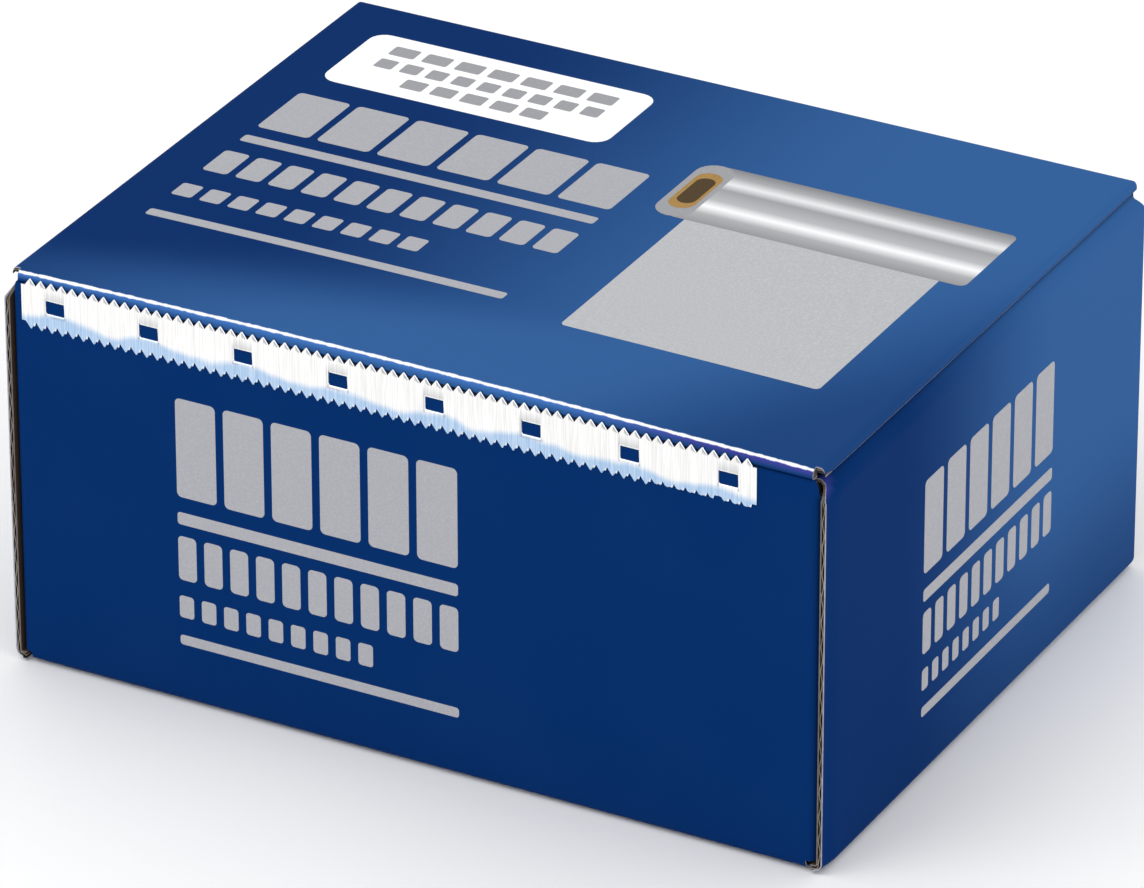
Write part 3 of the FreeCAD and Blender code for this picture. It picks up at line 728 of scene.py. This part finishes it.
# Household aluminium foil, bright side out: a mirror that long ripples and fine creases
# break up, with rolling lines round the roll.
def brightFoil():
    material, tree, shader = newMaterial("brightFoil", {"Metallic": 1.0, "Roughness": 0.2})
    place = addNode(tree, "TexCoord")["Object"]
    stretch = addNode(tree, "Mapping", None, {"Vector": place, "Scale": (45, 260, 260)})[0]
    crease = addNode(tree, "TexVoronoi", {"feature": "F1"},
                     {"Vector": stretch, "Scale": 1.0, "Randomness": 1.0})["Distance"]
    line = addNode(tree, "Mapping", None, {"Vector": place, "Scale": (1500, 30, 30)})[0]
    line = addNode(tree, "TexNoise", None, {"Vector": line, "Scale": 1.0, "Detail": 2.0})["Fac"]
    share = addNode(tree, "MapRange", smooth, {0: line, 1: 0.3, 2: 0.7})[0]
    color = addNode(tree, "Mix", mixed, {0: share, 6: linearColor("#dcdde0"), 7: linearColor("#eaebec")})[2]
    tree.links.new(color, shader.inputs["Base Color"])
    rough = addNode(tree, "MapRange", smooth, {0: line, 1: 0.3, 2: 0.7, 3: 0.2, 4: 0.27})[0]
    tree.links.new(rough, shader.inputs["Roughness"])
    height = addNode(tree, "Math", timesPlus, {0: line, 1: 0.04, 2: crease})[0]
    bump = addNode(tree, "Bump", None, {"Strength": 0.3, "Distance": 0.0001, "Height": height})
    tree.links.new(bump["Normal"], shader.inputs["Normal"])
    return material


# a closed ring turned about a roll's axis: the closed outline (across, radius) is carried
# round by the angle, and change(across, radius, angle) moves its points
def addTurned(name, y, outline, change, material, steps=160):
    angle = np.linspace(0, 2 * np.pi, steps, endpoint=False)
    across, radius = (np.repeat(column[:, None], steps, 1) for column in np.array(outline, float).T)
    turned = np.repeat(angle[None], len(outline), 0)
    across, radius = change(across, radius, turned)
    points = np.stack([across, y + radius * np.cos(turned), rolls["height"] + radius * np.sin(turned)], -1)
    index = np.arange(points[..., 0].size).reshape(points.shape[:2])
    after, beside = np.roll(index, -1, 0), np.roll(index, -1, 1)
    faces = np.stack([index, after, np.roll(after, -1, 1), beside], -1).reshape(-1, 4)
    return addPiece(name, "tray", points.reshape(-1, 3), faces, np.zeros(len(faces)), [material])


# outlines of a roll and of a core, each turned about its axis
def addRolls():
    r = rolls
    foil, card = brightFoil(), plainPaper("spiralCoreCard", "#b4905c", "#84633a", 0.7)
    ring = np.linspace(r["inner"], r["radius"], 4 * r["turns"] + 1)
    right = np.stack([0 * ring + r["halfWidth"], ring], -1)
    left = right[::-1] * np.array([-1, 1])
    outline = np.concatenate([right, [[20, r["radius"]], [-20, r["radius"]]], left])

    # the ends are ridged by a spiral wave in the radius, and the radius grows round by the tail
    def windFoil(across, radius, angle):
        spiral = (radius - r["inner"]) / (r["radius"] - r["inner"]) * r["turns"] + angle / (2 * np.pi)
        ridge = 0.09 * (1 - np.cos(2 * np.pi * spiral)) + 0.05 * (1 + np.sin(7 * spiral))
        end = np.abs(across) > r["halfWidth"] - 0.01
        outside = radius > r["radius"] - 0.01
        across = across - np.where(end, np.sign(across) * ridge, 0)
        loose = r["tail"] * ((angle / (2 * np.pi) + 0.6) % 1 - 1)
        return across, radius + np.where(outside, loose, 0)

    # the winding seam of the card tube runs round it as a screw line
    def windCard(across, radius, angle):
        seam = np.cos(angle - across / 12.0)
        return across, radius - 0.04 * np.clip(seam - 0.97, 0, 1) / 0.03 * (radius > 15)

    inner, outer = r["coreRadii"]
    tube = np.linspace(-r["coreHalf"] + 0.3, r["coreHalf"] - 0.3, 60)
    core = np.concatenate([[[-r["coreHalf"], inner + 0.25], [-r["coreHalf"], outer - 0.25]],
                           np.stack([tube, 0 * tube + outer], -1),
                           [[r["coreHalf"], outer - 0.25], [r["coreHalf"], inner + 0.25]],
                           np.stack([tube[::-6], 0 * tube[::-6] + inner], -1)])
    for name in ("front", "rear"):
        piece = addTurned(name + "_wound_foil", r[name], outline, windFoil, foil)
        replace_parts(piece, name + "_foil_roll")
        piece = addTurned(name + "_card_core", r[name], core[::-1], windCard, card, 72)
        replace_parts(piece, name + "_roll_core")


addRolls()
print("rolls wound")


# print on the board, in rows of plain bars: left, right, middle, half height, corner radius,
# number of bars, ink, and how many layers of ink lie under it
printRows = {
    "lift": 0.02,
    "layer": 0.012,
    "gap": 1.3,
    "front": [(-38, 8, 42, 8.0, 0.8, 6, 0, 0), (-38, 8, 30.5, 1.0, 0.5, 1, 0, 0), (-38, 8, 24, 3.6, 0.7, 11, 0, 0),
              (-38, -6, 16, 1.8, 0.5, 9, 0, 0), (-38, 8, 10.5, 0.8, 0.5, 1, 0, 0)],
    "side": [(-21, 21, 41, 7.5, 0.8, 6, 0, 0), (-21, 21, 30, 1.0, 0.5, 1, 0, 0),
             (-21, 21, 23.8, 3.4, 0.7, 11, 0, 0), (-21, 4, 16.2, 1.7, 0.5, 8, 0, 0),
             (-21, 21, 11, 0.8, 0.5, 1, 0, 0)],
    "lid": [(-57, -9, 33, 9, 2.6, 1, 1, 0), (-52, -14, 37.6, 1.5, 0.4, 7, 2, 1), (-52, -14, 33, 1.5, 0.4, 9, 2, 1),
            (-45, -21, 28.4, 1.5, 0.4, 5, 2, 1),
            (-57, 2, 12, 6.5, 0.8, 6, 0, 0), (-57, 2, 1.4, 1.1, 0.5, 1, 0, 0), (-57, 2, -7, 3.6, 0.7, 11, 0, 0),
            (-57, -16, -17.6, 2.0, 0.5, 9, 0, 0), (-57, 2, -26, 1.0, 0.5, 1, 0, 0),
            (13, 54, -10, 20, 0.8, 1, 4, 0), (10, 58, 17, 9, 1.2, 1, 3, 1), (7, 13, 17, 9, 3.0, 1, 2, 2),
            (8, 12.2, 17, 6.2, 2.1, 1, 5, 3), (8.7, 11.7, 17, 4.4, 1.5, 1, 6, 4)],
}


# Metallic-grey, white and brown offset inks, even but for a fine speckle.
def flatInk(name, color, dark):
    material, tree, shader = newMaterial(name, {"Roughness": 0.5, "Specular IOR Level": 0.1})
    place = addNode(tree, "TexCoord")["Object"]
    speck = addNode(tree, "TexNoise", None, {"Vector": place, "Scale": 3000.0, "Detail": 2.0})["Fac"]
    share = addNode(tree, "MapRange", smooth, {0: speck, 1: 0.4, 2: 0.7, 4: 0.5})[0]
    shade = addNode(tree, "Mix", mixed, {0: share, 6: linearColor(color), 7: linearColor(dark)})[2]
    tree.links.new(shade, shader.inputs["Base Color"])
    return material


# Grey offset inks that run from dark to white across the drawn roll, as a lit metal one shows.
def sweptSilver():
    material, tree, shader = newMaterial("sweptSilverInk", {"Roughness": 0.42, "Specular IOR Level": 0.15})
    sweep = addNode(tree, "Attribute", {"attribute_name": "sweep"})["Fac"]
    swept = addNode(tree, "ValToRGB", None, {"Fac": sweep})["Color"]
    stops = [(0.0, "#8e8f93"), (0.16, "#a8a9ac"), (0.3, "#f6f7f8"), (0.42, "#b4b5b8"), (0.62, "#98999d"),
             (0.74, "#e4e5e7"), (0.86, "#a3a4a7"), (1.0, "#7b7c80")]
    elements = swept.node.color_ramp.elements
    for place, color in stops[1:-1]:
        elements.new(place)
    for element, (place, color) in zip(elements, stops):
        element.position = place
        element.color = linearColor(color)
    tree.links.new(swept, shader.inputs["Base Color"])
    return material


# each bar is a grid: its columns' half height shrinks by the corners' quarter circles, and
# lay(a, b, lift) puts it on the board
def addPrint(name, body, rows, lay):
    points, faces, picks, sweeps, start = [], [], [], [], 0
    for left, right, middle, halfHigh, radius, bars, color, layer in rows:
        halfWide = ((right - left) - printRows["gap"] * (bars - 1)) / bars / 2
        centers = left + halfWide + (2 * halfWide + printRows["gap"]) * np.arange(bars)
        bend = radius * (1 - np.cos(np.radians(np.linspace(0, 90, 6))))
        a = np.unique(np.round(np.concatenate([
            -halfWide + bend, np.linspace(-halfWide + radius, halfWide - radius, 30 if bars < 2 else 3),
            halfWide - bend]), 5))
        inside = np.clip(np.abs(a) - halfWide + radius, 0, radius)
        high = halfHigh - radius + np.sqrt(radius ** 2 - inside ** 2)
        high = np.maximum(high, 0.02)
        b = np.linspace(-1, 1, 17 if color == 3 else 7)
        gx, gy = a[:, None] + 0 * b, high[:, None] * b
        lift = printRows["lift"] + printRows["layer"] * layer
        for center in centers:
            sheet, quads, _ = closedSheet(lay(center + gx, middle + gy, lift), lay(center + gx, middle + gy, 0.0),
                                          np.ones((len(a) - 1, len(b) - 1), bool))
            points.append(sheet)
            faces.append(quads + start)
            picks.append(np.full(len(quads), color))
            sweeps.append(np.tile(((gy / halfHigh + 1) / 2).ravel(), 2))
            start += len(sheet)
    return addPiece(name, body, np.concatenate(points), np.concatenate(faces),
                    np.concatenate(picks), inks, {"sweep": np.concatenate(sweeps)})


inks = [flatInk("silverGreyInk", "#a6a7ad", "#b6b6bb"), flatInk("labelWhiteInk", "#fefefe", "#f4f4f5"),
        flatInk("labelGreyInk", "#98999e", "#a3a4a8"), sweptSilver(),
        flatInk("foilSheetInk", "#b2b4b8", "#c6c8cb"), flatInk("cardBrownInk", "#a88447", "#8b6a33"),
        flatInk("hollowInk", "#4a3717", "#3a2a10")]
addPrint("lid_print", "lid", printRows["lid"],
         lambda x, y, lift: np.stack([x, y, carton["height"] + lidRise(x, y) + lift], -1))
addPrint("front_print", "tray", printRows["front"],
         lambda x, z, lift: np.stack([x, 0 * x - carton["halfDepth"] - lift, z], -1))
addPrint("right_print", "tray", printRows["side"],
         lambda y, z, lift: np.stack([0 * y + carton["halfWidth"] + lift, y, z], -1))
addPrint("left_print", "tray", printRows["side"],
         lambda y, z, lift: np.stack([0 * y - carton["halfWidth"] - lift, -y, z], -1))
print("print laid on")


# camera: a long lens from the front right, fitted to the carton's visible corners
view = {
    "azimuth": 28.309,
    "elevation": 28.128,
    "roll": -0.094,
    "distance": 1367.5,         # mm from the origin, along the line of sight
    "aside": (1.131, -24.569),  # mm that the picture's centre is off the origin
    "lens": 36 * 9251.2 / 1144,
}


# back is the direction of azimuth and elevation; level and upward are square to it, turned by roll
def addCamera():
    az, el, roll = (math.radians(view[key]) for key in ("azimuth", "elevation", "roll"))
    back = Vector((math.sin(az) * math.cos(el), -math.cos(az) * math.cos(el), math.sin(el)))
    level = Vector((0, 0, 1)).cross(back).normalized()
    upward = back.cross(level)
    right = math.cos(roll) * level + math.sin(roll) * upward
    up = math.cos(roll) * upward - math.sin(roll) * level
    place = back * view["distance"] - right * view["aside"][0] - up * view["aside"][1]
    data = bpy.data.cameras.new("camera")
    data.lens, data.sensor_width = view["lens"], 36
    data.clip_start, data.clip_end = 0.05, 20
    camera = bpy.data.objects.new("camera", data)
    bpy.context.scene.collection.objects.link(camera)
    turned = Matrix((right, up, back)).transposed().to_4x4()
    camera.matrix_world = Matrix.Translation(place * 0.001) @ turned
    bpy.context.scene.camera = camera


light = {
    "world": 0.94,
    "key": (5.0, 0.9, (-0.6, -0.9, 1.3)),       # watts, metres across, place
    "fill": (2.0, 1.2, (1.4, -0.3, 0.7)),
    "floor": "#ffffff",
    "floorRadius": 3,                           # metres, as is the drop
    "floorDrop": 0.0003,                        # the floor lies this far under the carton
}


# an even white world, and two large soft lamps turned towards the carton
def addLights():
    world = bpy.data.worlds.new("paleStudio")
    world.use_nodes = True
    world.node_tree.nodes["Background"].inputs["Color"].default_value = (1, 1, 1, 1)
    world.node_tree.nodes["Background"].inputs["Strength"].default_value = light["world"]
    bpy.context.scene.world = world
    bpy.context.scene.view_settings.view_transform = "Standard"     # inks keep their printed colours
    for name in ("key", "fill"):
        power, size, place = light[name]
        data = bpy.data.lights.new(name, "AREA")
        data.energy, data.size = power, size
        lamp = bpy.data.objects.new(name, data)
        bpy.context.scene.collection.objects.link(lamp)
        lamp.location = place
        lamp.rotation_euler = Vector(place).to_track_quat("Z", "Y").to_euler()


# a plain round floor: one face whose 64 corners stand on a circle
def addFloor():
    angle = np.linspace(0, 2 * np.pi, 64, endpoint=False)
    radius, drop = light["floorRadius"], light["floorDrop"]
    points = np.stack([radius * np.cos(angle), radius * np.sin(angle), 0 * angle - drop], -1)
    mesh = bpy.data.meshes.new("floor")
    mesh.from_pydata(points.tolist(), [], [list(range(64))])
    floor = bpy.data.objects.new("floor", mesh)
    bpy.context.scene.collection.objects.link(floor)
    material = newMaterial("paleFloor", {"Roughness": 0.7, "Base Color": linearColor(light["floor"])})[0]
    mesh.materials.append(material)


addCamera()
addLights()
addFloor()
print("camera, lamps and floor placed")
